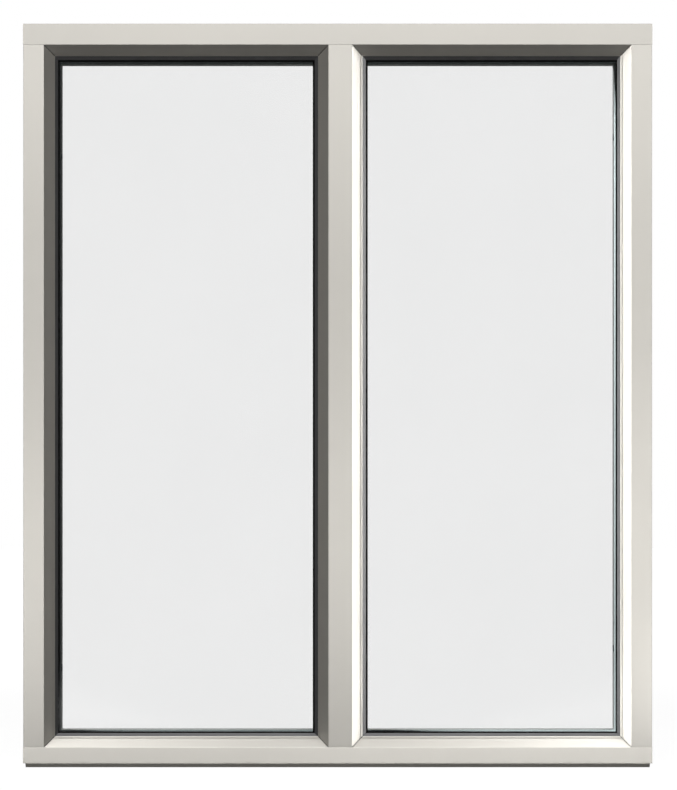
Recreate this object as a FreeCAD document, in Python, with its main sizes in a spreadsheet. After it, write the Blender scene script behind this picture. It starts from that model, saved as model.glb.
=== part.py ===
# Fixed picture window with two lights, timber inside and aluminium outside.
# The origin is the middle of the sill's underside, the face that sits on the wall.
# X runs along the window, -Y looks outdoors and +Z is up. All sizes are millimetres.

import FreeCAD, Part
import os
import Sketcher

SIZES = (
    ("overall_width", 1080.0),
    ("overall_height", 1278.0),
    ("timber_depth", 105.0),
    ("stand_off", 10.0),
    ("timber_inset", 3.5),
    ("base_drop", 7.5),
    ("mullion_offset", 4.5),
    ("jamb_face", 35.2),
    ("head_face", 35.9),
    ("sill_face", 27.3),
    ("mullion_face", 40.3),
    ("bevel_width", 14.2),
    ("bevel_depth", 14.5),
    ("groove_width", 1.6),
    ("groove_depth", 1.6),
    ("lip_width", 2.3),
    ("lip_thickness", 1.8),
    ("skin", 2.0),
    ("arris_radius", 0.7),
    ("sill_arris_radius", 2.0),
    ("front_leg_inset", 20.0),
    ("foot_gap", 0.5),
    ("joint_gap", 0.2),
    ("mitre_gap", 0.8),
    ("end_cap_thickness", 0.6),
    ("gasket_width", 5.0),
    ("head_gasket_extra", 1.4),
    ("mullion_gasket_extra", 0.9),
    ("gasket_root", 2.5),
    ("gasket_drop", 0.4),
    ("gasket_toe", 0.9),
    ("seal_sight", 2.6),
    ("wide_seal_sight", 3.2),
    ("reveal_lead", 0.3),
    ("edge_cover", 10.0),
    ("edge_clearance", 4.0),
    ("glass_setback", 24.5),
    ("pane_thickness", 4.0),
    ("cavity", 18.0),
    ("spacer_height", 6.5),
    ("seal_film", 0.3),
    ("seal_clearance", 0.1),
    ("inner_gasket_thickness", 3.0),
    ("inner_gasket_setback", 0.3),
    ("step_depth", 26.0),
    ("step_width", 10.5),
    ("timber_round", 3.0),
    ("lining_inset", 12.0),
    ("lining_width", 8.0),
    ("lining_depth", 10.0),
    ("rail_depth", 9.2),
    ("rail_foot_depth", 2.6),
    ("rail_lift", 0.5),
    ("rail_nose", 0.6),
    ("block_length", 100.0),
    ("block_inset", 60.0),
    ("fixing_hole", 8.0),
    ("fixing_depth", 83.0),
    ("left_lower_fixing", 167.5),
    ("left_upper_fixing", 223.5),
    ("right_lower_fixing", 201.5),
    ("right_upper_fixing", 189.5),
    ("cap_diameter", 12.0),
    ("cap_height", 1.7),
    ("cap_round", 1.3),
    ("cut_margin", 5.0),
)

doc = FreeCAD.newDocument("fixed_window")
sheet = doc.addObject("Spreadsheet::Sheet", "Sizes")
for row, (alias, value) in enumerate(SIZES, start=1):
    sheet.set(f"A{row}", alias)
    sheet.set(f"B{row}", str(value))
    sheet.setAlias(f"B{row}", alias)
doc.recompute()


def size(alias):
    """The name that an expression uses for a cell."""
    return f"Sizes.{alias}"


def number(expression):
    """The present value of an expression, to draw a sketch where it will lie."""
    return float(sheet.evalExpression(expression))


def plus(*terms):
    return "(" + " + ".join(str(term) for term in terms) + ")"


def minus(first, *others):
    return "(" + " - ".join([str(first)] + [str(term) for term in others]) + ")"


def half(term):
    return f"({term} / 2)"


PANES = 3
CAVITIES = PANES - 1
SAME_PLACE = 0.01

# Lines across a member, measured from the inner edge of its flat face towards the glass

LIP_END = plus(size("bevel_width"), size("groove_width"), size("lip_width"))
BEVEL_SLOPE = f"({size('bevel_depth')} / {size('bevel_width')})"
BEVEL_WALL = f"({size('skin')} * sqrt(1 + {BEVEL_SLOPE} * {BEVEL_SLOPE}))"

# Depths behind the outside face of the cladding

def slope_depth(run):
    """Depth of the sloping surface at a distance from the inner edge of the flat face."""
    return f"({run} * {BEVEL_SLOPE})"


LIP_DEPTH = slope_depth(LIP_END)
LIP_BACK = plus(LIP_DEPTH, size("lip_thickness"))
CAVITY_STEP = plus(size("pane_thickness"), size("cavity"))
UNIT_THICKNESS = plus(f"{PANES} * {size('pane_thickness')}", f"{CAVITIES} * {size('cavity')}")
GLASS_BACK = plus(size("glass_setback"), UNIT_THICKNESS)
REBATE_BACK = plus(GLASS_BACK, size("inner_gasket_thickness"))
TOTAL_DEPTH = plus(size("stand_off"), size("timber_depth"))


def depth_y(depth):
    """Y of a depth behind the outside face."""
    return minus(depth, half(size("timber_depth")), size("stand_off"))


class Side:
    """One side of a light: its face, gasket and seal widths and where its lines lie in the frame."""

    def __init__(self, face, place, gasket=size("gasket_width"), sight=size("seal_sight")):
        self.face = face
        self.place = place
        self.gasket = gasket
        self.sight = sight

    @property
    def lip(self):
        return plus(self.face, LIP_END)

    @property
    def gasket_end(self):
        return plus(self.lip, self.gasket)

    @property
    def spacer_line(self):
        return plus(self.gasket_end, self.sight)

    @property
    def reveal(self):
        return minus(self.spacer_line, size("reveal_lead"))

    @property
    def glass_edge(self):
        return minus(self.reveal, size("edge_cover"))

    @property
    def rebate(self):
        return minus(self.glass_edge, size("edge_clearance"))

    @property
    def step(self):
        return minus(self.rebate, size("step_width"))


def from_left(across):
    return minus(across, half(size("overall_width")))


def from_right(across):
    return minus(half(size("overall_width")), across)


def left_of_mullion(across):
    return minus(size("mullion_offset"), across)


def right_of_mullion(across):
    return plus(size("mullion_offset"), across)


def from_top(across):
    return minus(size("overall_height"), across)


def from_bottom(across):
    return plus(size("base_drop"), across)


LEFT = Side(size("jamb_face"), from_left)
RIGHT = Side(size("jamb_face"), from_right)
MULLION_GASKET = plus(size("gasket_width"), size("mullion_gasket_extra"))
MULLION_LEFT = Side(half(size("mullion_face")), left_of_mullion, MULLION_GASKET, size("wide_seal_sight"))
MULLION_RIGHT = Side(half(size("mullion_face")), right_of_mullion, MULLION_GASKET, size("wide_seal_sight"))
HEAD_GASKET = plus(size("gasket_width"), size("head_gasket_extra"))
HEAD = Side(size("head_face"), from_top, HEAD_GASKET, size("wide_seal_sight"))
SILL = Side(size("sill_face"), from_bottom)
LIGHTS = (("left", LEFT, MULLION_LEFT), ("right", MULLION_RIGHT, RIGHT))


# Sketches, pads and cuts

def plane_of(body, role):
    """One of the body's own origin planes."""
    return next(item for item in body.Origin.OriginFeatures if item.Role == role)


def new_sketch(body, role, name, offset="0"):
    """A sketch on an origin plane, lifted along the plane's normal."""
    sketch = body.newObject("Sketcher::SketchObject", name)
    sketch.AttachmentSupport = (plane_of(body, role), [""])
    sketch.MapMode = "FlatFace"
    sketch.setExpression("AttachmentOffset.Base.z", offset)
    return sketch


def draw_loop(sketch, points):
    """A closed outline whose corners are held by expressions."""
    first = sketch.GeometryCount
    count = len(points)
    corners = [FreeCAD.Vector(number(across), number(along), 0) for across, along in points]
    for index in range(count):
        sketch.addGeometry(Part.LineSegment(corners[index], corners[(index + 1) % count]), False)
    for index in range(count):
        sketch.addConstraint(
            Sketcher.Constraint("Coincident", first + index, 2, first + (index + 1) % count, 1)
        )
    for index, (across, along) in enumerate(points):
        for kind, value, expression in (
            ("DistanceX", corners[index].x, across),
            ("DistanceY", corners[index].y, along),
        ):
            held = sketch.addConstraint(Sketcher.Constraint(kind, first + index, 1, value))
            sketch.setExpression(f"Constraints[{held}]", expression)


def draw_circle(sketch, across, along, diameter):
    """A circle whose centre and diameter are held by expressions."""
    centre = FreeCAD.Vector(number(across), number(along), 0)
    radius = number(diameter) / 2
    circle = sketch.addGeometry(Part.Circle(centre, FreeCAD.Vector(0, 0, 1), radius), False)
    for kind, value, expression in (
        ("DistanceX", centre.x, across),
        ("DistanceY", centre.y, along),
    ):
        held = sketch.addConstraint(Sketcher.Constraint(kind, circle, 3, value))
        sketch.setExpression(f"Constraints[{held}]", expression)
    held = sketch.addConstraint(Sketcher.Constraint("Diameter", circle, 2 * radius))
    sketch.setExpression(f"Constraints[{held}]", diameter)


def add_pad(body, sketch, length, symmetric=False, reverse=False):
    pad = body.newObject("PartDesign::Pad", sketch.Name + "_pad")
    pad.Profile = sketch
    pad.SideType = "Symmetric" if symmetric else "One side"
    pad.Reversed = reverse
    pad.setExpression("Length", length)
    doc.recompute()
    return pad


def add_pocket(body, sketch, length=None, symmetric=False, reverse=False):
    """A cut that has to take something away; without a length it goes right through."""
    before = body.Shape.Volume
    pocket = body.newObject("PartDesign::Pocket", sketch.Name + "_cut")
    pocket.Profile = sketch
    pocket.Reversed = reverse
    pocket.SideType = "Symmetric" if symmetric else "One side"
    if length is None:
        pocket.Type = "ThroughAll"
    else:
        pocket.Type = "Length"
        pocket.setExpression("Length", length)
    doc.recompute()
    if not body.Shape.Volume < before:
        raise RuntimeError(f"{pocket.Name} takes nothing away")
    return pocket


def round_long_edges(body, name, along, corners, radius):
    """Round the edges that run along one axis through the given corners."""
    axes = {"x": (1, 2), "z": (0, 1)}[along]
    wanted = [(number(one), number(two)) for one, two in corners]
    found = []
    for index, edge in enumerate(body.Shape.Edges, start=1):
        ends = [vertex.Point for vertex in edge.Vertexes]
        if len(ends) != 2:
            continue
        for one, two in wanted:
            if all(max(abs(end[axes[0]] - one), abs(end[axes[1]] - two)) < SAME_PLACE for end in ends):
                found.append(f"Edge{index}")
    if len(found) != len(wanted):
        raise RuntimeError(f"{name} found {len(found)} edges of {len(wanted)}")
    base = body.Tip
    fillet = body.newObject("PartDesign::Fillet", name)
    fillet.Base = (base, found)
    fillet.setExpression("Radius", radius)
    doc.recompute()


def round_edge(body, name, edge, radius):
    """Round one edge of the body."""
    index = next(place for place, item in enumerate(body.Shape.Edges, start=1) if item.isSame(edge))
    base = body.Tip
    fillet = body.newObject("PartDesign::Fillet", name)
    fillet.Base = (base, [f"Edge{index}"])
    fillet.setExpression("Radius", radius)
    doc.recompute()


# Cladding: an extruded skin with a flat face, a deep bevel, a shadow groove and a lip

def cladding_half(side):
    """Outline from the face inwards, round the lip and back to the face's inner side."""
    face = side.face
    groove_start = size("bevel_width")
    groove_end = plus(groove_start, size("groove_width"))
    foot_outer = minus(side.rebate, size("foot_gap"))
    foot_inner = minus(foot_outer, size("skin"))
    foot_root = plus(slope_depth(minus(foot_inner, face)), BEVEL_WALL)
    face_back = f"({face} + ({size('skin')} - {BEVEL_WALL}) / {BEVEL_SLOPE})"
    return [
        (face, "0"),
        (plus(face, groove_start), slope_depth(groove_start)),
        (plus(face, groove_start), plus(slope_depth(groove_start), size("groove_depth"))),
        (plus(face, groove_end), plus(slope_depth(groove_end), size("groove_depth"))),
        (plus(face, groove_end), slope_depth(groove_end)),
        (side.lip, LIP_DEPTH),
        (side.lip, LIP_BACK),
        (foot_outer, LIP_BACK),
        (foot_outer, size("step_depth")),
        (foot_inner, size("step_depth")),
        (foot_inner, foot_root),
        (face_back, size("skin")),
    ]


def leg(outer, inner):
    """A leg that stands from the skin's back to the timber's front."""
    return [
        (outer, size("skin")),
        (outer, size("stand_off")),
        (inner, size("stand_off")),
        (inner, size("skin")),
    ]


def edge_cladding(side):
    """The whole outline of a head, sill or jamb: across, then depth."""
    inset = size("front_leg_inset")
    return (
        [("0", size("stand_off")), ("0", "0")]
        + cladding_half(side)
        + leg(plus(inset, size("skin")), inset)
        + [(size("skin"), size("skin")), (size("skin"), size("stand_off"))]
    )


def mullion_cladding():
    """The whole outline of the mullion: X, then depth."""
    inner = half(size("front_leg_inset"))
    outer = plus(inner, size("skin"))
    right = [(MULLION_RIGHT.place(across), depth) for across, depth in cladding_half(MULLION_RIGHT)]
    right += [(MULLION_RIGHT.place(across), depth) for across, depth in leg(outer, inner)]
    left = [(MULLION_LEFT.place(across), depth) for across, depth in cladding_half(MULLION_LEFT)]
    left += [(MULLION_LEFT.place(across), depth) for across, depth in leg(outer, inner)]
    return right + left[::-1]


def upright_profile(body, points, name, low, length):
    """Pad an outline of X and depth along Z."""
    sketch = new_sketch(body, "XY_Plane", name, low)
    draw_loop(sketch, [(across, depth_y(depth)) for across, depth in points])
    add_pad(body, sketch, length)


def level_profile(body, points, name, length):
    """Pad an outline of Z and depth along X, both ways from the middle."""
    sketch = new_sketch(body, "YZ_Plane", name)
    draw_loop(sketch, [(depth_y(depth), height) for height, depth in points])
    add_pad(body, sketch, length, symmetric=True)


def end_beyond_face(side, other, reach):
    """What a jamb loses at a head or sill: square at the face, mitred from its inner edge."""
    margin = size("cut_margin")
    gap = size("joint_gap")
    turn = plus(other.face, gap)
    inner = plus(side.lip, margin)
    return [
        (side.place(f"(0 - {margin})"), other.place(turn)),
        (side.place(side.face), other.place(turn)),
        (side.place(inner), other.place(plus(turn, LIP_END, margin))),
        (side.place(inner), other.place(reach)),
        (side.place(f"(0 - {margin})"), other.place(reach)),
    ]


def end_inside_face(side, other):
    """What a head or sill loses at a jamb: the mitred corner of its moulding, with the mitre's gap."""
    margin = size("cut_margin")
    gap = size("mitre_gap")
    deep = plus(other.face, LIP_END, margin)
    return [
        (side.place(plus(side.face, gap)), other.place(other.face)),
        (side.place(plus(side.lip, gap, margin)), other.place(deep)),
        (side.place(f"(0 - {margin})"), other.place(deep)),
        (side.place(f"(0 - {margin})"), other.place(other.face)),
    ]


def notch_at_mullion(other):
    """What a head or sill loses where the mullion's moulding turns into its own."""
    margin = size("cut_margin")
    gap = size("mitre_gap")
    deep = plus(other.face, LIP_END, margin)
    start = plus(MULLION_LEFT.face, gap)
    inner = plus(MULLION_LEFT.lip, gap, margin)
    return [
        (MULLION_LEFT.place(start), other.place(other.face)),
        (MULLION_RIGHT.place(start), other.place(other.face)),
        (MULLION_RIGHT.place(inner), other.place(deep)),
        (MULLION_LEFT.place(inner), other.place(deep)),
    ]


def mullion_end(other, reach):
    """What the mullion loses at the head or sill."""
    margin = size("cut_margin")
    turn = plus(other.face, size("joint_gap"))
    deep = plus(turn, LIP_END, margin)
    inner = plus(MULLION_LEFT.lip, margin)
    return [
        (MULLION_LEFT.place(MULLION_LEFT.face), other.place(turn)),
        (MULLION_RIGHT.place(MULLION_RIGHT.face), other.place(turn)),
        (MULLION_RIGHT.place(inner), other.place(deep)),
        (MULLION_RIGHT.place(inner), other.place(reach)),
        (MULLION_LEFT.place(inner), other.place(reach)),
        (MULLION_LEFT.place(inner), other.place(deep)),
    ]


def cut_in_elevation(body, name, loops):
    """Cut outlines of X and Z right through the depth."""
    sketch = new_sketch(body, "XZ_Plane", name)
    for loop in loops:
        draw_loop(sketch, loop)
    add_pocket(body, sketch, symmetric=True)


BEYOND_TOP = f"(0 - {size('cut_margin')})"
CLADDING_LENGTH = minus(size("overall_height"), size("base_drop"))


def make_jamb_cladding(name, side):
    body = doc.addObject("PartDesign::Body", name)
    points = [(side.place(across), depth) for across, depth in edge_cladding(side)]
    upright_profile(body, points, name + "_section", size("base_drop"), CLADDING_LENGTH)
    corners = ("0", side.face)
    round_long_edges(
        body, name + "_arrises", "z",
        [(side.place(across), depth_y("0")) for across in corners], size("arris_radius"),
    )
    cut_in_elevation(
        body, name + "_ends",
        [end_beyond_face(side, HEAD, BEYOND_TOP), end_beyond_face(side, SILL, BEYOND_TOP)],
    )
    return body


def make_level_cladding(name, side, inner_radius):
    body = doc.addObject("PartDesign::Body", name)
    points = [(side.place(across), depth) for across, depth in edge_cladding(side)]
    level_profile(body, points, name + "_section", size("overall_width"))
    for part, across, radius in (
        ("outer", "0", size("arris_radius")),
        ("inner", side.face, inner_radius),
    ):
        corner = (depth_y("0"), side.place(across))
        round_long_edges(body, f"{name}_{part}_arris", "x", [corner], radius)
    cut_in_elevation(
        body, name + "_ends",
        [end_inside_face(LEFT, side), end_inside_face(RIGHT, side), notch_at_mullion(side)],
    )
    return body


def make_mullion_cladding(name):
    body = doc.addObject("PartDesign::Body", name)
    upright_profile(body, mullion_cladding(), name + "_section", size("base_drop"), CLADDING_LENGTH)
    corners = (MULLION_LEFT.place(MULLION_LEFT.face), MULLION_RIGHT.place(MULLION_RIGHT.face))
    round_long_edges(
        body, name + "_arrises", "z",
        [(across, depth_y("0")) for across in corners], size("arris_radius"),
    )
    cut_in_elevation(
        body, name + "_ends", [mullion_end(HEAD, BEYOND_TOP), mullion_end(SILL, BEYOND_TOP)],
    )
    return body


# Timber: rebated members, the jambs full height and the others coped between them

def timber_outline(side, outer):
    """Outline of a rebated member: across, then depth."""
    return [
        (outer, size("stand_off")),
        (side.step, size("stand_off")),
        (side.step, size("step_depth")),
        (side.rebate, size("step_depth")),
        (side.rebate, REBATE_BACK),
        (side.reveal, REBATE_BACK),
        (side.reveal, TOTAL_DEPTH),
        (outer, TOTAL_DEPTH),
    ]


def rectangle(first, second, low, high):
    return [(first, low), (second, low), (second, high), (first, high)]


def cut_behind(body, name, depth, loops):
    """Cut outlines of X and Z from a depth to the inside face."""
    sketch = new_sketch(body, "XZ_Plane", name, f"(0 - {depth_y(depth)})")
    for loop in loops:
        draw_loop(sketch, loop)
    add_pocket(body, sketch, minus(plus(TOTAL_DEPTH, size("cut_margin")), depth))


def make_jamb_timber(name, side):
    body = doc.addObject("PartDesign::Body", name)
    points = [(side.place(across), depth) for across, depth in timber_outline(side, size("timber_inset"))]
    length = minus(size("overall_height"), size("timber_inset"))
    upright_profile(body, points, name + "_section", "0", length)
    round_long_edges(
        body, name + "_arrises", "z",
        [(side.place(across), depth_y(TOTAL_DEPTH)) for across in (size("timber_inset"), side.reveal)],
        size("timber_round"),
    )
    return body


def drill_jamb(body, name, side, heights, facing_left):
    """The fixing holes that go through the jamb into the wall."""
    sketch = new_sketch(body, "YZ_Plane", name + "_holes", side.place(side.reveal))
    for height in heights:
        draw_circle(sketch, depth_y(size("fixing_depth")), height, size("fixing_hole"))
    add_pocket(body, sketch, reverse=facing_left)


def cut_lining_groove(body, name):
    """The groove round the inside face that takes the lining boards of the wall opening."""
    start = minus(TOTAL_DEPTH, size("lining_depth"))
    sketch = new_sketch(body, "XZ_Plane", name + "_lining", f"(0 - {depth_y(start)})")
    outer = size("lining_inset")
    for line in (outer, plus(outer, size("lining_width"))):
        across = plus(size("timber_inset"), line)
        draw_loop(sketch, rectangle(from_left(across), from_right(across), line, from_top(across)))
    add_pocket(body, sketch, plus(size("lining_depth"), size("cut_margin")))


def make_level_timber(name, side, outer):
    """A head or sill: its front reaches the jambs' steps, and its back is coped over their rebates."""
    body = doc.addObject("PartDesign::Body", name)
    points = [(side.place(across), depth) for across, depth in timber_outline(side, outer)]
    length = minus(size("overall_width"), f"2 * {LEFT.step}")
    level_profile(body, points, name + "_section", length)
    round_long_edges(
        body, name + "_arrises", "x",
        [(depth_y(TOTAL_DEPTH), side.place(across)) for across in (outer, side.reveal)],
        size("timber_round"),
    )
    margin = size("cut_margin")
    low = side.place(minus(outer, margin))
    high = side.place(plus(side.reveal, margin))
    for cope, depth, line in (
        ("shoulders", size("step_depth"), "rebate"),
        ("copes", REBATE_BACK, "reveal"),
    ):
        cut_behind(
            body, f"{name}_{cope}", depth,
            [
                rectangle(end.place(minus(end.step, margin)), end.place(getattr(end, line)), low, high)
                for end in (LEFT, RIGHT)
            ],
        )
    return body


def make_mullion_timber(name):
    body = doc.addObject("PartDesign::Body", name)
    right = [
        (MULLION_RIGHT.place(across), depth)
        for across, depth in timber_outline(MULLION_RIGHT, "0")[1:-1]
    ]
    left = [
        (MULLION_LEFT.place(across), depth)
        for across, depth in timber_outline(MULLION_LEFT, "0")[1:-1]
    ]
    low = SILL.place(SILL.step)
    length = minus(HEAD.place(HEAD.step), low)
    upright_profile(body, right + left[::-1], name + "_section", low, length)
    round_long_edges(
        body, name + "_arrises", "z",
        [(side.place(side.reveal), depth_y(TOTAL_DEPTH)) for side in (MULLION_LEFT, MULLION_RIGHT)],
        size("timber_round"),
    )
    margin = size("cut_margin")
    first = MULLION_LEFT.place(plus(MULLION_LEFT.reveal, margin))
    second = MULLION_RIGHT.place(plus(MULLION_RIGHT.reveal, margin))
    for cope, depth, line in (
        ("shoulders", size("step_depth"), "rebate"),
        ("copes", REBATE_BACK, "reveal"),
    ):
        cut_behind(
            body, f"{name}_{cope}", depth,
            [
                rectangle(first, second, end.place(minus(end.step, margin)), end.place(getattr(end, line)))
                for end in (SILL, HEAD)
            ],
        )
    return body


# Glass units: three panes, two spacer frames and their edge seals

def make_box(name, x_range, depth_range, z_range):
    box = doc.addObject("Part::Box", name)
    box.setExpression("Length", minus(x_range[1], x_range[0]))
    box.setExpression("Width", minus(depth_range[1], depth_range[0]))
    box.setExpression("Height", minus(z_range[1], z_range[0]))
    box.setExpression("Placement.Base.x", x_range[0])
    box.setExpression("Placement.Base.y", depth_y(depth_range[0]))
    box.setExpression("Placement.Base.z", z_range[0])
    return box


def light_rectangle(left, right, line, inwards="0"):
    """A line of the light, taken round its four sides and moved inwards."""
    def at(side):
        return side.place(plus(getattr(side, line), inwards))
    return rectangle(at(left), at(right), at(SILL), at(HEAD))


def make_pane(name, left, right, depth):
    return make_box(
        name,
        (left.place(left.glass_edge), right.place(right.glass_edge)),
        (depth, plus(depth, size("pane_thickness"))),
        (SILL.place(SILL.glass_edge), HEAD.place(HEAD.glass_edge)),
    )


def ring_sketch(body, name, depth, outer, inner):
    sketch = new_sketch(body, "XZ_Plane", name, f"(0 - {depth_y(depth)})")
    draw_loop(sketch, outer)
    draw_loop(sketch, inner)
    return sketch


def make_spacer(name, left, right, middle):
    body = doc.addObject("PartDesign::Body", name)
    outer = light_rectangle(left, right, "spacer_line", f"(0 - {size('spacer_height')})")
    inner = light_rectangle(left, right, "spacer_line")
    sketch = ring_sketch(body, name + "_ring", middle, outer, inner)
    thickness = minus(size("cavity"), f"2 * {size('seal_film')}", f"2 * {size('seal_clearance')}")
    add_pad(body, sketch, thickness, symmetric=True)
    return body


def make_seal(name, left, right, middle):
    """The seal fills the edge behind the spacer and wraps its two sides."""
    body = doc.addObject("PartDesign::Body", name)
    edge = light_rectangle(left, right, "glass_edge")
    inner = light_rectangle(left, right, "spacer_line")
    back = light_rectangle(left, right, "spacer_line", f"(0 - {size('spacer_height')})")
    whole = ring_sketch(body, name + "_ring", middle, edge, inner)
    thickness = minus(size("cavity"), f"2 * {size('seal_clearance')}")
    add_pad(body, whole, thickness, symmetric=True)
    channel = ring_sketch(body, name + "_channel", middle, back, inner)
    add_pocket(body, channel, minus(thickness, f"2 * {size('seal_film')}"), symmetric=True)
    return body


def group(name, members):
    """Several like pieces that share one node."""
    compound = doc.addObject("Part::Compound", name)
    compound.Links = members
    return compound


# Gaskets: a wedge outside, cut to each side, and a flat ring inside

def gasket_outline(side):
    return [
        (minus(side.lip, size("gasket_root")), LIP_BACK),
        (side.lip, LIP_BACK),
        (side.lip, plus(LIP_DEPTH, size("gasket_drop"))),
        (side.gasket_end, minus(size("glass_setback"), size("gasket_toe"))),
        (side.gasket_end, size("glass_setback")),
        (minus(side.lip, size("gasket_root")), size("glass_setback")),
    ]


def gasket_mitre(side, other):
    """What a side's gasket loses at a corner: all beyond the line where two wedges meet."""
    out_across = minus(side.lip, side.gasket)
    out_along = minus(other.lip, other.gasket)
    in_across = plus(side.gasket_end, side.gasket)
    in_along = plus(other.gasket_end, other.gasket)
    beyond = minus(out_along, size("cut_margin"))
    return [
        (side.place(out_across), other.place(out_along)),
        (side.place(in_across), other.place(in_along)),
        (side.place(in_across), other.place(beyond)),
        (side.place(out_across), other.place(beyond)),
    ]


def swap(points):
    return [(along, across) for across, along in points]


def make_upright_gasket(name, side):
    body = doc.addObject("PartDesign::Body", name)
    points = [(side.place(across), depth) for across, depth in gasket_outline(side)]
    low = SILL.place(minus(SILL.lip, size("gasket_root")))
    high = HEAD.place(minus(HEAD.lip, size("gasket_root")))
    upright_profile(body, points, name + "_section", low, minus(high, low))
    cut_in_elevation(
        body, name + "_ends",
        [gasket_mitre(side, end) for end in (HEAD, SILL)],
    )
    return body


def make_level_gasket(name, side, left, right):
    body = doc.addObject("PartDesign::Body", name)
    points = [(side.place(across), depth) for across, depth in gasket_outline(side)]
    low = left.place(minus(left.lip, size("gasket_root")))
    high = right.place(minus(right.lip, size("gasket_root")))
    sketch = new_sketch(body, "YZ_Plane", name + "_section", low)
    draw_loop(sketch, [(depth_y(depth), height) for height, depth in points])
    add_pad(body, sketch, minus(high, low))
    cut_in_elevation(
        body, name + "_ends",
        [swap(gasket_mitre(side, end)) for end in (left, right)],
    )
    return body


def make_inner_gasket(name, left, right):
    body = doc.addObject("PartDesign::Body", name)
    outer = light_rectangle(left, right, "glass_edge", size("inner_gasket_setback"))
    inner = light_rectangle(left, right, "reveal", f"(0 - {size('inner_gasket_setback')})")
    sketch = ring_sketch(body, name + "_ring", REBATE_BACK, outer, inner)
    add_pad(body, sketch, size("inner_gasket_thickness"))
    return body


# Small pieces: setting blocks, fixing caps and the cladding's end caps

def make_setting_blocks(name, left, right):
    blocks = []
    first = left.place(plus(left.glass_edge, size("block_inset")))
    last = right.place(plus(right.glass_edge, size("block_inset")))
    for part, low, high in (
        ("first", first, plus(first, size("block_length"))),
        ("last", minus(last, size("block_length")), last),
    ):
        blocks.append(make_box(
            f"{name}_{part}", (low, high), (size("glass_setback"), GLASS_BACK),
            (SILL.place(SILL.rebate), SILL.place(SILL.glass_edge)),
        ))
    return group(name, blocks)


def make_caps(name, side, heights, facing_left):
    """Domed covers that stick on the reveal over the fixing holes."""
    caps = []
    seat = number(side.place(side.reveal))
    for part, height in zip(("lower", "upper"), heights):
        body = doc.addObject("PartDesign::Body", f"{name}_{part}")
        sketch = new_sketch(body, "YZ_Plane", f"{name}_{part}_disc", side.place(side.reveal))
        draw_circle(sketch, depth_y(size("fixing_depth")), height, size("cap_diameter"))
        add_pad(body, sketch, size("cap_height"), reverse=facing_left)
        crown = max(body.Shape.Edges, key=lambda edge: abs(edge.CenterOfMass.x - seat))
        round_edge(body, f"{name}_{part}_crown", crown, size("cap_round"))
        caps.append(body)
    return group(name, caps)


def make_end_caps(name, side):
    """Thin plates that close the two ends of a level cladding's channel."""
    heights = (side.place("0"), side.place(side.face))
    if number(heights[0]) > number(heights[1]):
        heights = heights[::-1]
    plates = []
    for part, end in (("left", LEFT), ("right", RIGHT)):
        edges = (end.place(f"(0 - {size('end_cap_thickness')})"), end.place("0"))
        if end is RIGHT:
            edges = edges[::-1]
        plates.append(make_box(f"{name}_{part}", edges, ("0", size("stand_off")), heights))
    return group(name, plates)


def make_foot_rail(name):
    """A drip rail under the sill cladding: a low nose, then a slope that runs down and back."""
    body = doc.addObject("PartDesign::Body", name)
    front = minus(size("stand_off"), size("rail_depth"))
    low = size("rail_lift")
    points = [
        (front, minus(size("base_drop"), size("rail_nose"))),
        (minus(size("stand_off"), size("rail_foot_depth")), low),
        (size("stand_off"), low),
        (size("stand_off"), size("base_drop")),
        (front, size("base_drop")),
    ]
    length = minus(size("overall_width"), f"2 * {size('timber_inset')}")
    level_profile(body, [(height, depth) for depth, height in points], name + "_section", length)
    return body


LEFT_FIXINGS = (size("left_lower_fixing"), from_top(size("left_upper_fixing")))
RIGHT_FIXINGS = (size("right_lower_fixing"), from_top(size("right_upper_fixing")))

nodes = {}
nodes["timber_left_jamb"] = make_jamb_timber("timber_left_jamb", LEFT)
drill_jamb(nodes["timber_left_jamb"], "left_jamb", LEFT, LEFT_FIXINGS, False)
nodes["timber_right_jamb"] = make_jamb_timber("timber_right_jamb", RIGHT)
drill_jamb(nodes["timber_right_jamb"], "right_jamb", RIGHT, RIGHT_FIXINGS, True)
nodes["timber_head"] = make_level_timber("timber_head", HEAD, size("timber_inset"))
nodes["timber_sill"] = make_level_timber("timber_sill", SILL, f"(0 - {size('base_drop')})")
nodes["timber_mullion"] = make_mullion_timber("timber_mullion")
for name in ("timber_left_jamb", "timber_right_jamb", "timber_head", "timber_sill"):
    cut_lining_groove(nodes[name], name)
nodes["foot_rail"] = make_foot_rail("foot_rail")
nodes["cladding_left_jamb"] = make_jamb_cladding("cladding_left_jamb", LEFT)
nodes["cladding_right_jamb"] = make_jamb_cladding("cladding_right_jamb", RIGHT)
nodes["cladding_head"] = make_level_cladding("cladding_head", HEAD, size("arris_radius"))
nodes["cladding_sill"] = make_level_cladding("cladding_sill", SILL, size("sill_arris_radius"))
nodes["cladding_mullion"] = make_mullion_cladding("cladding_mullion")
nodes["head_end_caps"] = make_end_caps("head_end_caps", HEAD)
nodes["sill_end_caps"] = make_end_caps("sill_end_caps", SILL)

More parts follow.
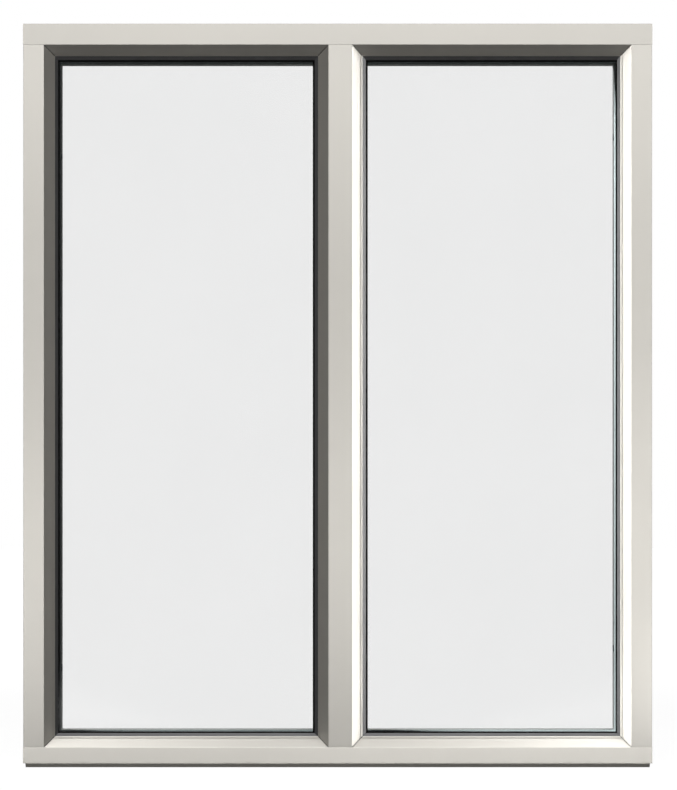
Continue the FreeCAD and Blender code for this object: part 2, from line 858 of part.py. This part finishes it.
for light, left_side, right_side in LIGHTS:
    for index, layer in enumerate(("outer", "middle", "inner")):
        pane_depth = plus(size("glass_setback"), f"{index} * {CAVITY_STEP}")
        name = f"{light}_{layer}_pane"
        nodes[name] = make_pane(name, left_side, right_side, pane_depth)
    seals = []
    for index, layer in enumerate(("outer", "inner")):
        cavity_middle = plus(
            size("glass_setback"), size("pane_thickness"), half(size("cavity")),
            f"{index} * {CAVITY_STEP}",
        )
        name = f"{light}_{layer}_spacer"
        nodes[name] = make_spacer(name, left_side, right_side, cavity_middle)
        seals.append(make_seal(f"{light}_{layer}_seal", left_side, right_side, cavity_middle))
    nodes[f"{light}_edge_seals"] = group(f"{light}_edge_seals", seals)
    for place, side in (("left", left_side), ("right", right_side)):
        name = f"{light}_light_{place}_gasket"
        nodes[name] = make_upright_gasket(name, side)
    for place, side in (("top", HEAD), ("bottom", SILL)):
        name = f"{light}_light_{place}_gasket"
        nodes[name] = make_level_gasket(name, side, left_side, right_side)
    name = f"{light}_inner_gasket"
    nodes[name] = make_inner_gasket(name, left_side, right_side)
    name = f"{light}_setting_blocks"
    nodes[name] = make_setting_blocks(name, left_side, right_side)

nodes["left_fixing_caps"] = make_caps("left_fixing_caps", LEFT, LEFT_FIXINGS, False)
nodes["right_fixing_caps"] = make_caps("right_fixing_caps", RIGHT, RIGHT_FIXINGS, True)

doc.recompute()

for item in doc.Objects:
    if "Invalid" in item.State or "Error" in item.State:
        raise RuntimeError(f"{item.Name} is {item.State}")

for name, item in nodes.items():
    item.Label = name
    if item.Shape.isNull() or not item.Shape.isValid():
        raise RuntimeError(f"{name} has no sound shape")

os.makedirs("parts", exist_ok=True)
for name, item in nodes.items():
    item.Shape.exportStep(f"parts/{name}.step")
    print(name, round(item.Shape.Volume), len(item.Shape.Solids))
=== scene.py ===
import math

import bpy
import numpy as np
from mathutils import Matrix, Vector


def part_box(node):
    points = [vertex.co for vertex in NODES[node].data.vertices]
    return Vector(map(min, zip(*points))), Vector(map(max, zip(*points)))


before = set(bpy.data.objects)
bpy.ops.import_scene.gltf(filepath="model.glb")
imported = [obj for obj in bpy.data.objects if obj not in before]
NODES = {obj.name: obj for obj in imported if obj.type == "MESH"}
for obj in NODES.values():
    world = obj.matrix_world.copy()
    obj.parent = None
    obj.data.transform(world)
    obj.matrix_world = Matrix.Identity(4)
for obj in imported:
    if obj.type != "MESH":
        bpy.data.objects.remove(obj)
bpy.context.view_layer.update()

SCENE = bpy.context.scene

# How a piece's box is read: its low or high corner, then an axis

LOW, HIGH = 0, 1
X, Y, Z = 0, 1, 2

# Noise stays mostly between these two values, so finishes are spread over them

NOISE_LOW = 0.3
NOISE_HIGH = 0.7


# Node helpers

def new_material(name):
    """An empty node material; returns the material and its tree."""
    material = bpy.data.materials.new(name)
    material.use_nodes = True
    tree = material.node_tree
    tree.nodes.clear()
    return material, tree


def add(tree, kind, **settings):
    """A node of one kind, with its inputs set by socket name; an underscore stands for a space."""
    node = tree.nodes.new(kind)
    for key, value in settings.items():
        node.inputs[key.replace("_", " ")].default_value = value
    return node


def link(tree, source, target):
    tree.links.new(source, target)


def maths(tree, operation, first, second=None):
    """One Math node; each operand is a number or a socket."""
    node = tree.nodes.new("ShaderNodeMath")
    node.operation = operation
    for operand, value in zip(node.inputs, (first, second)):
        if isinstance(value, (int, float)):
            operand.default_value = value
        elif value is not None:
            link(tree, value, operand)
    return node.outputs["Value"]


def place(tree, scale=(1.0, 1.0, 1.0)):
    """Object coordinates, scaled."""
    coordinates = tree.nodes.new("ShaderNodeTexCoord")
    mapping = add(tree, "ShaderNodeMapping", Scale=scale)
    link(tree, coordinates.outputs["Object"], mapping.inputs["Vector"])
    return mapping.outputs["Vector"]


def axes(tree, vector):
    """The three parts of a vector."""
    node = tree.nodes.new("ShaderNodeSeparateXYZ")
    link(tree, vector, node.inputs["Vector"])
    return node.outputs["X"], node.outputs["Y"], node.outputs["Z"]


def vector_length(tree, vector):
    node = tree.nodes.new("ShaderNodeVectorMath")
    node.operation = "LENGTH"
    link(tree, vector, node.inputs[0])
    return node.outputs["Value"]


def shaded(tree, colour, shade):
    """A colour times a number, both as sockets."""
    node = tree.nodes.new("ShaderNodeVectorMath")
    node.operation = "SCALE"
    link(tree, colour, node.inputs[0])
    link(tree, shade, node.inputs["Scale"])
    return node.outputs["Vector"]


def noise(tree, vector, scale, detail=2.0, roughness=0.5, distortion=0.0):
    """Noise from 0 to 1; scale is about how many lumps there are in a metre of the vector."""
    node = add(tree, "ShaderNodeTexNoise", Scale=scale, Detail=detail, Roughness=roughness,
               Distortion=distortion)
    link(tree, vector, node.inputs["Vector"])
    return node.outputs["Fac"]


def varied(colour, share):
    """A colour made lighter by a share, or darker where the share is negative."""
    return tuple(min(1.0, channel * (1.0 + share)) for channel in colour)


def toned(tree, factor, colour, darker, lighter):
    """A colour that a noise socket takes from one share darker to another lighter."""
    ramp = tree.nodes.new("ShaderNodeValToRGB")
    ends = ((NOISE_LOW, varied(colour, -darker)), (NOISE_HIGH, varied(colour, lighter)))
    for element, (position, tone) in zip(ramp.color_ramp.elements, ends):
        element.position = position
        element.color = (*tone, 1.0)
    link(tree, factor, ramp.inputs["Fac"])
    return ramp.outputs["Color"]


def change(tree, value, from_low, from_high, to_low, to_high, smooth=False):
    """A number that goes from one to another as a socket's value does."""
    node = add(tree, "ShaderNodeMapRange", From_Min=from_low, From_Max=from_high, To_Min=to_low,
               To_Max=to_high)
    if smooth:
        node.interpolation_type = "SMOOTHSTEP"
    link(tree, value, node.inputs["Value"])
    return node.outputs["Result"]


def spread(tree, factor, low, high):
    """A number between two, by a noise socket."""
    return change(tree, factor, NOISE_LOW, NOISE_HIGH, low, high)


def smooth_step(tree, value, low, high, to_low=0.0, to_high=1.0):
    return change(tree, value, low, high, to_low, to_high, smooth=True)


def relief(tree, height, depth, strength, under=None):
    """Bump of a real depth in metres, on top of another bump if one is given."""
    bump = add(tree, "ShaderNodeBump", Strength=strength, Distance=depth)
    link(tree, height, bump.inputs["Height"])
    if under is not None:
        link(tree, under, bump.inputs["Normal"])
    return bump.outputs["Normal"]


def finish_surface(tree, shader):
    output = tree.nodes.new("ShaderNodeOutputMaterial")
    link(tree, shader, output.inputs["Surface"])


def opaque_surface(tree, colour, roughness, normal, **constants):
    """A surface from three sockets; what is the same all over it is set on the shader's own inputs."""
    shader = add(tree, "ShaderNodeBsdfPrincipled", **constants)
    link(tree, colour, shader.inputs["Base Color"])
    link(tree, roughness, shader.inputs["Roughness"])
    link(tree, normal, shader.inputs["Normal"])
    finish_surface(tree, shader.outputs["BSDF"])


# Painted shade in the mitre gaps of the cladding, in metres: the profiles' faces, the mitres' depth and the
# width of the shaded line; then how dark the paint goes there

JAMB_FACE = 0.0352
HEAD_FACE = 0.0359
SILL_FACE = 0.0273
MULLION_MIDDLE = 0.0045
MULLION_HALF_FACE = 0.02015
MITRE_DEPTH = 0.0175
SEAM_CORE = 0.0003
SEAM_EDGE = 0.0016
SEAM_SHADE = 0.2


def painted_mitre_shade(tree):
    """1 on the thin mitre gaps of the bevels' corners, where the distances in from two sides are equal;
    there the paint is darkened as painted shade.
    """
    across, _, up = axes(tree, place(tree))
    off_mullion = maths(tree, "ABSOLUTE", maths(tree, "SUBTRACT", across, MULLION_MIDDLE))
    from_mullion = maths(tree, "SUBTRACT", off_mullion, MULLION_HALF_FACE)
    from_left = maths(tree, "SUBTRACT", across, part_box("cladding_left_jamb")[LOW][X] + JAMB_FACE)
    from_right = maths(tree, "SUBTRACT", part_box("cladding_right_jamb")[HIGH][X] - JAMB_FACE, across)
    from_sill = maths(tree, "SUBTRACT", up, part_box("cladding_sill")[LOW][Z] + SILL_FACE)
    from_head = maths(tree, "SUBTRACT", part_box("cladding_head")[HIGH][Z] - HEAD_FACE, up)
    from_side = maths(tree, "MINIMUM", from_mullion, maths(tree, "MINIMUM", from_left, from_right))
    from_level = maths(tree, "MINIMUM", from_sill, from_head)
    apart = maths(tree, "ABSOLUTE", maths(tree, "SUBTRACT", from_side, from_level))
    inside = maths(tree, "GREATER_THAN", maths(tree, "MINIMUM", from_side, from_level), 0.0)
    near = maths(tree, "LESS_THAN", maths(tree, "MAXIMUM", from_side, from_level), MITRE_DEPTH)
    seam = smooth_step(tree, apart, SEAM_CORE, SEAM_EDGE, 1.0, 0.0)
    return maths(tree, "MULTIPLY", seam, maths(tree, "MULTIPLY", inside, near))


# Powder coat of the cladding

PAINT = (0.60, 0.578, 0.532)
PAINT_METALLIC = 0.56
PAINT_IOR = 1.5
PAINT_ROUGHNESS = (0.29, 0.34)
PAINT_CLOUD_SCALE = 9.0
PAINT_CLOUD_SHARE = 0.012
PAINT_SPECK_SCALE = 1400.0
PEEL_SCALE = 620.0
PEEL_DEPTH = 0.000012
PEEL_STRENGTH = 0.5


def make_powder_coat():
    """Satin powder coat on aluminium: fine orange peel, faint clouds in the colour, painted shade along the
    mitre gaps.
    """
    material, tree = new_material("satin_powder_coat")
    vector = place(tree)
    clouds = noise(tree, vector, PAINT_CLOUD_SCALE, detail=3.0)
    speck = noise(tree, vector, PAINT_SPECK_SCALE, detail=1.0)
    peel = noise(tree, vector, PEEL_SCALE)
    paint = toned(tree, clouds, PAINT, PAINT_CLOUD_SHARE, PAINT_CLOUD_SHARE)
    # Painted shade: the paint darkens along the mitre gaps of the bevels, where shade falls in the joint
    shade = smooth_step(tree, painted_mitre_shade(tree), 0.0, 1.0, 1.0, SEAM_SHADE)
    opaque_surface(tree, shaded(tree, paint, shade), spread(tree, speck, *PAINT_ROUGHNESS),
                   relief(tree, peel, PEEL_DEPTH, PEEL_STRENGTH),
                   Metallic=PAINT_METALLIC, IOR=PAINT_IOR)
    return material


# Opaque paint of the timber; its grain runs along each member

TIMBER_PAINT = (0.70, 0.71, 0.69)
TIMBER_DARKER = 0.035
TIMBER_LIGHTER = 0.02
TIMBER_IOR = 1.48
TIMBER_ROUGHNESS = (0.40, 0.52)
ACROSS_GRAIN = 160.0
ALONG_GRAIN = 7.0
UPRIGHT_GRAIN = (ACROSS_GRAIN, ACROSS_GRAIN, ALONG_GRAIN)
LEVEL_GRAIN = (ALONG_GRAIN, ACROSS_GRAIN, ACROSS_GRAIN)
BEND_SCALE = 3.0
RING_SHARE = 0.75
RING_DEPTH = 0.00025
RING_STRENGTH = 0.5
PORE_SCALE = 6.0
PORE_DEPTH = 0.00008
PORE_STRENGTH = 0.4


def make_timber_paint(name, grain):
    """Opaque paint on pine: the grain still shows as long shallow waves along the member."""
    material, tree = new_material(name)
    vector = place(tree, grain)
    bend = noise(tree, place(tree), BEND_SCALE)
    rings = noise(tree, vector, 1.0, detail=5.0, roughness=0.62, distortion=0.8)
    pores = noise(tree, vector, PORE_SCALE, detail=3.0, roughness=0.7)
    shade = maths(tree, "ADD", maths(tree, "MULTIPLY", rings, RING_SHARE),
                  maths(tree, "MULTIPLY", bend, 1.0 - RING_SHARE))
    waves = relief(tree, rings, RING_DEPTH, RING_STRENGTH)
    opaque_surface(tree, toned(tree, shade, TIMBER_PAINT, TIMBER_DARKER, TIMBER_LIGHTER),
                   spread(tree, rings, *TIMBER_ROUGHNESS),
                   relief(tree, pores, PORE_DEPTH, PORE_STRENGTH, waves), IOR=TIMBER_IOR)
    return material


# Glass

GLASS_IOR = 1.43
GLASS_TINT = (0.997, 0.998, 0.998)
GLASS_TINT_SHARE = 0.002
GLASS_CLOUD_SCALE = 5.0
GLASS_SHADOW = (0.94, 0.95, 0.945, 1.0)


def make_glass():
    """Float glass with a faint tint that drifts a little over the pane; it casts a pale shadow."""
    material, tree = new_material("clear_float_glass")
    slow = noise(tree, place(tree), GLASS_CLOUD_SCALE, detail=1.0)
    shader = add(tree, "ShaderNodeBsdfPrincipled", IOR=GLASS_IOR, Roughness=0.0, Transmission_Weight=1.0)
    link(tree, toned(tree, slow, GLASS_TINT, GLASS_TINT_SHARE, GLASS_TINT_SHARE),
         shader.inputs["Base Color"])
    clear = add(tree, "ShaderNodeBsdfTransparent", Color=GLASS_SHADOW)
    path = tree.nodes.new("ShaderNodeLightPath")
    mix = tree.nodes.new("ShaderNodeMixShader")
    link(tree, path.outputs["Is Shadow Ray"], mix.inputs["Fac"])
    link(tree, shader.outputs["BSDF"], mix.inputs[1])
    link(tree, clear.outputs["BSDF"], mix.inputs[2])
    finish_surface(tree, mix.outputs["Shader"])
    return material


# Rubber of the gaskets and of the seals round the glass

RUBBER_IOR = 1.5
BLOOM_SCALE = 60.0
BLOOM_DARKER = 0.12
BLOOM_LIGHTER = 0.15
BLOOM_SMOOTHER = 0.05
BLOOM_ROUGHER = 0.08
GRIT_SCALE = 1800.0
GRIT_DEPTH = 0.00002
GRIT_STRENGTH = 0.6
GASKET_GREY = (0.054, 0.054, 0.055)
SEAL_BLACK = (0.004, 0.004, 0.004)


def make_rubber(name, colour, roughness, gloss):
    """Extruded rubber: a fine grit with a dusty bloom; gloss is the strength of its mirroring."""
    material, tree = new_material(name)
    vector = place(tree)
    bloom = noise(tree, vector, BLOOM_SCALE, detail=4.0)
    grit = noise(tree, vector, GRIT_SCALE)
    opaque_surface(tree, toned(tree, bloom, colour, BLOOM_DARKER, BLOOM_LIGHTER),
                   spread(tree, bloom, roughness - BLOOM_SMOOTHER, roughness + BLOOM_ROUGHER),
                   relief(tree, grit, GRIT_DEPTH, GRIT_STRENGTH),
                   IOR=RUBBER_IOR, Specular_IOR_Level=gloss)
    return material


# Metal of the spacer bars between the panes

SPACER_COLOUR = (0.386, 0.44, 0.449)
SPACER_TONE_SHARE = 0.05
SPACER_METALLIC = 0.35
SPACER_IOR = 1.5
SPACER_ROUGHNESS = (0.38, 0.52)
PATCH_SCALE = 30.0
ROLLING_LINES = (40.0, 3000.0, 40.0)
ROLLING_DEPTH = 0.00002
ROLLING_STRENGTH = 0.5
SLOT_PITCH = 0.0024
SLOT_ROW = (0.00035, 0.00049)
SLOT_ENDS = (0.1, 0.4)
SLOT_SHADE = 0.25
SLOT_DEPTH = 0.0002
SLOT_STRENGTH = 0.8


def bar_middle(name):
    """Depth of the middle of a spacer bar."""
    low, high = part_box(name)
    return 0.5 * (low[Y] + high[Y])


def spacer_slots(tree):
    """1 in the small slots along the middle of the spacer bars, which let the bars' filling dry the air;
    the metal is darkened there as painted shade.

    The row is where the depth is near a bar's middle, and the slots are the crests of a sine along the bar.
    """
    across, depth, up = axes(tree, place(tree))
    off_bars = [maths(tree, "ABSOLUTE", maths(tree, "SUBTRACT", depth, bar_middle(name)))
                for name in ("left_outer_spacer", "left_inner_spacer")]
    row = smooth_step(tree, maths(tree, "MINIMUM", *off_bars), *SLOT_ROW, 1.0, 0.0)
    along = maths(tree, "MULTIPLY", maths(tree, "ADD", across, up), 2.0 * math.pi / SLOT_PITCH)
    return maths(tree, "MULTIPLY", row, smooth_step(tree, maths(tree, "SINE", along), *SLOT_ENDS))


def make_spacer_metal():
    """Rolled spacer bar: dull metal with fine rolling lines and a row of small slots along it, darkened
    with painted shade.
    """
    material, tree = new_material("dull_spacer_metal")
    lines = noise(tree, place(tree, ROLLING_LINES), 1.0)
    patches = noise(tree, place(tree), PATCH_SCALE, detail=3.0)
    slots = spacer_slots(tree)
    metal = toned(tree, patches, SPACER_COLOUR, SPACER_TONE_SHARE, SPACER_TONE_SHARE)
    # Painted shade: the metal is darkened in the slots, where shade falls in the holes
    shade = smooth_step(tree, slots, 0.0, 1.0, 1.0, SLOT_SHADE)
    rolled = relief(tree, lines, ROLLING_DEPTH, ROLLING_STRENGTH)
    solid = maths(tree, "SUBTRACT", 1.0, slots)
    opaque_surface(tree, shaded(tree, metal, shade), spread(tree, lines, *SPACER_ROUGHNESS),
                   relief(tree, solid, SLOT_DEPTH, SLOT_STRENGTH, rolled),
                   Metallic=SPACER_METALLIC, IOR=SPACER_IOR)
    return material


# Plastic of the caps over the fixing holes and of the blocks under the glass

PLASTIC_IOR = 1.46
PLASTIC_TONE_SHARE = 0.06
PLASTIC_TONE_SCALE = 150.0
PLASTIC_ROUGHNESS = (0.42, 0.55)
MOULD_GRAIN_SCALE = 2200.0
MOULD_GRAIN_DEPTH = 0.00002
MOULD_GRAIN_STRENGTH = 0.5
CAP_GREY = (0.20, 0.20, 0.20)
BLOCK_BLACK = (0.02, 0.02, 0.02)


def make_plastic(name, colour):
    """Moulded plastic: a fine even grain."""
    material, tree = new_material(name)
    vector = place(tree)
    grain = noise(tree, vector, MOULD_GRAIN_SCALE)
    tone = noise(tree, vector, PLASTIC_TONE_SCALE)
    opaque_surface(tree, toned(tree, tone, colour, PLASTIC_TONE_SHARE, PLASTIC_TONE_SHARE),
                   spread(tree, grain, *PLASTIC_ROUGHNESS),
                   relief(tree, grain, MOULD_GRAIN_DEPTH, MOULD_GRAIN_STRENGTH), IOR=PLASTIC_IOR)
    return material


# Finishes of the window's pieces; the first name that fits gives the finish

powder_coat = make_powder_coat()
level_paint = make_timber_paint("painted_level_timber", LEVEL_GRAIN)

FINISHES = (
    ("cladding_", powder_coat),
    ("foot_rail", powder_coat),
    ("end_caps", powder_coat),
    ("timber_head", level_paint),
    ("timber_sill", level_paint),
    ("timber_", make_timber_paint("painted_upright_timber", UPRIGHT_GRAIN)),
    ("_pane", make_glass()),
    ("_spacer", make_spacer_metal()),
    ("_edge_seals", make_rubber("black_edge_seal", SEAL_BLACK, roughness=0.8, gloss=0.0)),
    ("_gasket", make_rubber("grey_gasket_rubber", GASKET_GREY, roughness=0.62, gloss=0.5)),
    ("_fixing_caps", make_plastic("grey_cap_plastic", CAP_GREY)),
    ("_setting_blocks", make_plastic("black_block_plastic", BLOCK_BLACK)),
)

for name, node in NODES.items():
    finish = next(material for part, material in FINISHES if part in name)
    node.data.materials.clear()
    node.data.materials.append(finish)


# Floor: half its side, its paint, and how white it shows near the window and farther off, in metres

FLOOR_HALF_SIDE = 14.0
FLOOR_PAINT = (0.55, 0.55, 0.55, 1.0)
NEAR_GLOW = 0.93
GLOW_REACH = (1.2, 3.5)

# Studio as gloss mirrors it: pale, but dark to the two sides and straight in front, by the cosine of the
# angle to each, and dark on the floor close to the window, by the distance in metres

SIDE_EDGE = (0.80, 0.92)
FRONT_EDGE = (0.94, 0.985)
FOOT_SHADE_REACH = (0.8, 1.5)
DARK_MIRROR_LEVEL = 0.05
WORLD_FILL = 0.03

# A ray's count of bounces is below this when there are none

HALF_BOUNCE = 0.5


def pale_share(tree, vector):
    """1 for directions that mirror the pale studio, 0 straight in front of the window and to its sides."""
    across, depth, _ = axes(tree, vector)
    length = vector_length(tree, vector)
    sideways = maths(tree, "DIVIDE", maths(tree, "ABSOLUTE", across), length)
    forward = maths(tree, "DIVIDE", maths(tree, "MULTIPLY", depth, -1.0), length)
    beside = smooth_step(tree, sideways, *SIDE_EDGE)
    ahead = smooth_step(tree, forward, *FRONT_EDGE)
    return maths(tree, "SUBTRACT", 1.0, maths(tree, "MAXIMUM", beside, ahead))


def first_sight(tree, path, kind, other_depth):
    """1 for a ray that has only looked through the glass, or only mirrored off a surface, else 0."""
    fresh = maths(tree, "MULTIPLY", maths(tree, "LESS_THAN", path.outputs["Diffuse Depth"], HALF_BOUNCE),
                  maths(tree, "LESS_THAN", path.outputs[other_depth], HALF_BOUNCE))
    return maths(tree, "MULTIPLY", path.outputs[kind], fresh)


def mirror_level(tree, path, pale):
    """What glass and metal show: white through the glass, and mirrored, as white as the pale share says."""
    mirrored = maths(tree, "MULTIPLY", first_sight(tree, path, "Is Glossy Ray", "Transmission Depth"),
                     maths(tree, "MAXIMUM", pale, DARK_MIRROR_LEVEL))
    through = first_sight(tree, path, "Is Transmission Ray", "Glossy Depth")
    return maths(tree, "MAXIMUM", maths(tree, "MAXIMUM", mirrored, through), WORLD_FILL)


def floor_shader(tree):
    """Lit paint, which glows for the camera; glass and gloss get the mirror level instead."""
    path = tree.nodes.new("ShaderNodeLightPath")
    distance = vector_length(tree, place(tree))
    level = smooth_step(tree, distance, *GLOW_REACH, NEAR_GLOW, 1.0)
    glow = tree.nodes.new("ShaderNodeEmission")
    link(tree, maths(tree, "MULTIPLY", path.outputs["Is Camera Ray"], level), glow.inputs["Strength"])
    paint = add(tree, "ShaderNodeBsdfDiffuse", Color=FLOOR_PAINT)
    shown = tree.nodes.new("ShaderNodeAddShader")
    link(tree, paint.outputs["BSDF"], shown.inputs[0])
    link(tree, glow.outputs["Emission"], shown.inputs[1])
    beyond_foot = smooth_step(tree, distance, *FOOT_SHADE_REACH)
    pale = maths(tree, "MULTIPLY", pale_share(tree, place(tree)), beyond_foot)
    mirrored = tree.nodes.new("ShaderNodeEmission")
    link(tree, mirror_level(tree, path, pale), mirrored.inputs["Strength"])
    dull = maths(tree, "GREATER_THAN", path.outputs["Diffuse Depth"], HALF_BOUNCE)
    seen = tree.nodes.new("ShaderNodeMixShader")
    link(tree, maths(tree, "MAXIMUM", path.outputs["Is Camera Ray"], dull), seen.inputs["Fac"])
    link(tree, mirrored.outputs["Emission"], seen.inputs[1])
    link(tree, shown.outputs["Shader"], seen.inputs[2])
    return seen.outputs["Shader"]


def make_floor():
    """A flat square round the window's foot that keeps the window's soft shadow."""
    corners = np.array([(-1, -1, 0), (1, -1, 0), (1, 1, 0), (-1, 1, 0)], float) * FLOOR_HALF_SIDE
    mesh = bpy.data.meshes.new("floor")
    mesh.from_pydata(corners.tolist(), [], [(0, 1, 2, 3)])
    floor = bpy.data.objects.new("floor", mesh)
    SCENE.collection.objects.link(floor)
    material, tree = new_material("pale_floor")
    finish_surface(tree, floor_shader(tree))
    mesh.materials.append(material)


def make_world():
    """White where it is seen, the mirror level for glass and gloss, and a soft fill for dull surfaces."""
    world = bpy.data.worlds.new("studio")
    SCENE.world = world
    world.use_nodes = True
    tree = world.node_tree
    tree.nodes.clear()
    path = tree.nodes.new("ShaderNodeLightPath")
    coordinates = tree.nodes.new("ShaderNodeTexCoord")
    background = add(tree, "ShaderNodeBackground", Color=(1.0, 1.0, 1.0, 1.0))
    level = mirror_level(tree, path, pale_share(tree, coordinates.outputs["Generated"]))
    link(tree, maths(tree, "MAXIMUM", level, path.outputs["Is Camera Ray"]), background.inputs["Strength"])
    output = tree.nodes.new("ShaderNodeOutputWorld")
    link(tree, background.outputs["Background"], output.inputs["Surface"])


make_floor()
make_world()


# Lamps, each kept to the pieces it is meant for

LEFT_SPACERS = ("left_outer_spacer", "left_inner_spacer")
RIGHT_SPACERS = ("right_outer_spacer", "right_inner_spacer")
RIGHT_LIGHT_WEDGES = ("right_light_left_gasket", "right_light_right_gasket")
DARK_CLADDING = ("cladding_head", "cladding_mullion", "cladding_left_jamb")
PANES = tuple(name for name in NODES if name.endswith("_pane"))
INSIDE_PIECES = tuple(name for name in NODES
                      if name.startswith("timber_") or name.endswith(("_inner_gasket", "_fixing_caps")))


def lit_group(name, pieces, state="INCLUDE"):
    """A collection that a lamp is linked to: it lights only these pieces, or with EXCLUDE all but these."""
    collection = bpy.data.collections.new(name)
    for piece in pieces:
        collection.objects.link(NODES[piece])
    for item in collection.collection_objects:
        item.light_linking.link_state = state
    return collection


ALL_BUT_HEAD = lit_group("all_but_head", (*PANES, "cladding_head"), "EXCLUDE")
ALL_BUT_DARK = lit_group(
    "all_but_dark_pieces", (*PANES, *LEFT_SPACERS, *RIGHT_SPACERS, *DARK_CLADDING), "EXCLUDE")
HEAD = lit_group("head", ("cladding_head",))
SILL = lit_group("sill", ("cladding_sill", "sill_end_caps", "timber_sill", "foot_rail"))
UPRIGHTS = lit_group("uprights", ("cladding_left_jamb", "cladding_mullion", "cladding_right_jamb"))
RIGHT_EDGE = lit_group("right_edge", ("cladding_right_jamb",))
RIGHT_LIGHT = lit_group("right_light", ("cladding_mullion", "cladding_right_jamb", *RIGHT_LIGHT_WEDGES))
SIDE_WEDGES = lit_group("side_wedges", RIGHT_LIGHT_WEDGES)
BOTTOM_WEDGES = lit_group("bottom_wedges", ("left_light_bottom_gasket", "right_light_bottom_gasket"))
LEFT_REVEALS = lit_group("left_reveals", LEFT_SPACERS)
RIGHT_REVEALS = lit_group("right_reveals", RIGHT_SPACERS)
INSIDE = lit_group("inside", INSIDE_PIECES)
INSIDE_BUT_LEFT = lit_group("inside_but_left", (name for name in INSIDE_PIECES if "left" not in name))
LEFT_TIMBER = lit_group("left_timber", ("timber_left_jamb",))

# Each lamp's name, middle, the point it faces, width and height, radiance, and the pieces it lights

LAMPS = (
    ("bounce_board", (0.0, -0.5, 0.03), (0.0, -0.45, 1.02), (3.6, 0.6), 0.16, UPRIGHTS),
    ("right_foot_card", (0.75, -0.45, 0.1), (0.52, -0.06, 0.12), (0.5, 0.2), 0.75, RIGHT_EDGE),
    ("card_low", (-0.15, -4.0, 0.25), (-0.15, 0.0, 0.25), (4.2, 0.5), 3.65, ALL_BUT_HEAD),
    ("card_top", (-0.15, -4.0, 1.8), (-0.15, 0.0, 1.8), (4.2, 1.1), 2.31, ALL_BUT_HEAD),
    ("head_card", (0.15, -4.0, 2.2), (0.15, 0.0, 1.25), (3.6, 1.8), 2.29, HEAD),
    ("sill_foot_card", (0.0, -1.5, 0.12), (0.0, 0.0, 0.12), (3.0, 0.24), 1.31, SILL),
    ("sill_card", (0.95, -3.0, 0.2), (0.95, 0.0, 0.2), (1.9, 0.4), 1.67, SILL),
    ("right_low", (0.9, -4.0, 0.35), (0.9, 0.0, 0.35), (1.4, 0.7), 0.8, RIGHT_EDGE),
    ("sill_top", (-0.9, -0.55, 3.0), (0.0, -0.06, 0.0), (1.8, 0.9), 3.4, SILL),
    ("sill_top_right", (1.0, -0.55, 3.0), (0.3, -0.06, 0.0), (1.4, 0.9), 6.35, SILL),
    ("strip_rightward", (0.27, -0.075, 0.75), (1.0, -0.075, 0.75), (0.02, 1.49), 10.53, RIGHT_LIGHT),
    ("strip_leftward", (0.27, -0.075, 0.75), (-1.0, -0.075, 0.75), (0.02, 1.49), 15.9, RIGHT_LIGHT),
    ("strip_foot_rightward", (0.27, -0.075, 0.08), (1.0, -0.075, 0.08), (0.02, 0.15), 4.14, RIGHT_LIGHT),
    ("strip_foot_leftward", (0.27, -0.075, 0.08), (-1.0, -0.075, 0.08), (0.02, 0.15), 1.31, RIGHT_LIGHT),
    ("wedge_rightward", (0.27, -0.2, 0.64), (1.0, 0.0, 0.64), (0.1, 1.2), 12.12, SIDE_WEDGES),
    ("wedge_leftward", (0.27, -0.2, 0.64), (-1.0, 0.0, 0.64), (0.1, 1.2), 14.6, SIDE_WEDGES),
    ("wedge_top", (0.7, -1.2, 2.6), (0.0, -0.04, 0.05), (2.0, 0.8), 25.76, BOTTOM_WEDGES),
    ("left_reveal_back", (-1.5, 0.9, 2.2), (0.2, 0.0, 0.5), (1.0, 1.0), 29.82, LEFT_REVEALS),
    ("right_reveal_back", (-1.5, 0.9, 2.2), (0.2, 0.0, 0.5), (1.0, 1.0), 110.0, RIGHT_REVEALS),
    ("left_side", (-2.8, -0.9, 0.9), (0.0, 0.0, 0.64), (1.4, 1.6), 1.0, ALL_BUT_DARK),
    ("right_side", (2.8, -0.9, 0.9), (0.0, 0.0, 0.64), (1.4, 1.6), 1.0, ALL_BUT_DARK),
    ("back_left", (-2.2, 2.6, 2.5), (0.0, 0.0, 0.64), (2.0, 1.4), 8.0, INSIDE),
    ("back_left_jamb", (-2.2, 2.6, 2.5), (0.0, 0.0, 0.64), (2.0, 1.4), 8.0, LEFT_TIMBER),
    ("back_right", (2.2, 2.6, 2.5), (0.0, 0.0, 0.64), (2.0, 1.4), 8.0, INSIDE_BUT_LEFT),
)


def add_lamp(name, middle, aim, size, radiance, receivers):
    """A rectangular lamp that isn't seen itself; its power is its radiance times pi times its area."""
    lamp = bpy.data.lights.new(name, "AREA")
    lamp.shape = "RECTANGLE"
    lamp.size, lamp.size_y = size
    lamp.energy = radiance * math.pi * lamp.size * lamp.size_y
    item = bpy.data.objects.new(name, lamp)
    item.location = middle
    item.rotation_euler = (Vector(aim) - Vector(middle)).to_track_quat("-Z", "Y").to_euler()
    item.visible_camera = False
    item.visible_transmission = False
    item.light_linking.receiver_collection = receivers
    SCENE.collection.objects.link(item)


for lamp_values in LAMPS:
    add_lamp(*lamp_values)


# Camera: straight on, 7.15 m in front of the cladding, with its axis a little under the window's middle

CAMERA_PLACE = (-0.0063, -7.2125, 0.568)
LENS_MM = 189.7
SENSOR_MM = 36.0
SHIFT = (0.0057, 0.0532)
FAR_CLIP = 100.0

camera = bpy.data.cameras.new("camera")
camera.lens = LENS_MM
camera.sensor_width = SENSOR_MM
camera.shift_x, camera.shift_y = SHIFT
camera.clip_end = FAR_CLIP
camera_item = bpy.data.objects.new("camera", camera)
camera_item.location = CAMERA_PLACE
camera_item.rotation_euler = (math.radians(90.0), 0.0, 0.0)
SCENE.collection.objects.link(camera_item)
SCENE.camera = camera_item
SCENE.view_settings.view_transform = "Standard"
